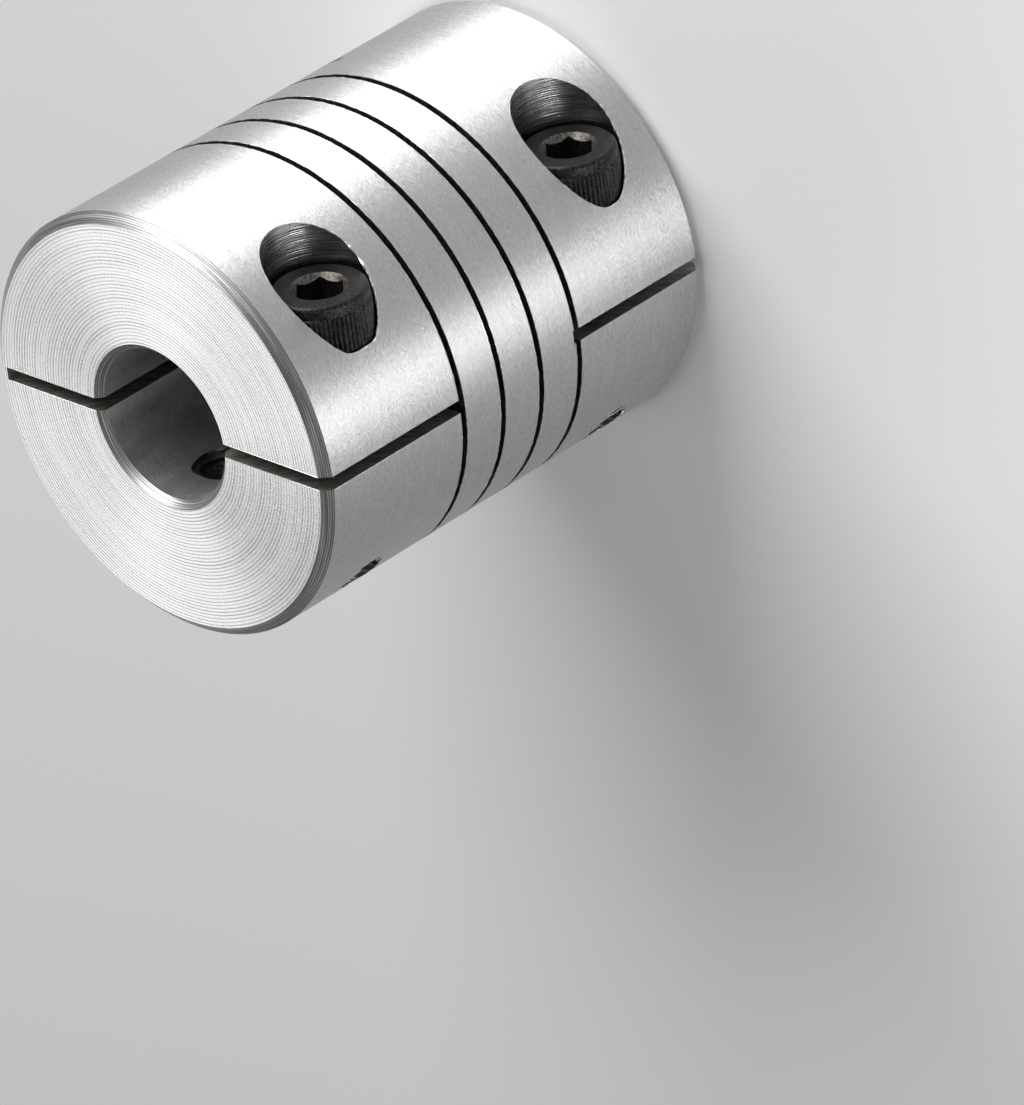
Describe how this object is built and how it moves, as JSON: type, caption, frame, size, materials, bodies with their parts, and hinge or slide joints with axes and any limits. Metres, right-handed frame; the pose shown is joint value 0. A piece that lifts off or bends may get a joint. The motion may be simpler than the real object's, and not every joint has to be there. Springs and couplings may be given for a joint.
{
  "type": "helical beam coupling",
  "caption": "Flexible shaft coupling: a turned aluminium sleeve with a helical cut, slit clamping ends, cap screws and set screws.",
  "frame": {"origin": "centre of the lower end face, on the shaft axis", "axes": "+Z along the shaft axis, from the lower end to the upper; +X to the open side of the clamping slits; +Y to the clamp screws' heads"},
  "size_m": [0.025, 0.025, 0.03],
  "materials": {
    "turned_aluminium": "bare, finely turned",
    "black_oxide_steel": "black oxide, satin"
  },
  "bodies": {
    "root": {"coupling_body": "turned_aluminium", "upper_clamp_screw": "black_oxide_steel", "lower_clamp_screw": "black_oxide_steel", "upper_set_screw": "black_oxide_steel", "lower_set_screw": "black_oxide_steel"}
  },
  "joints": []
}
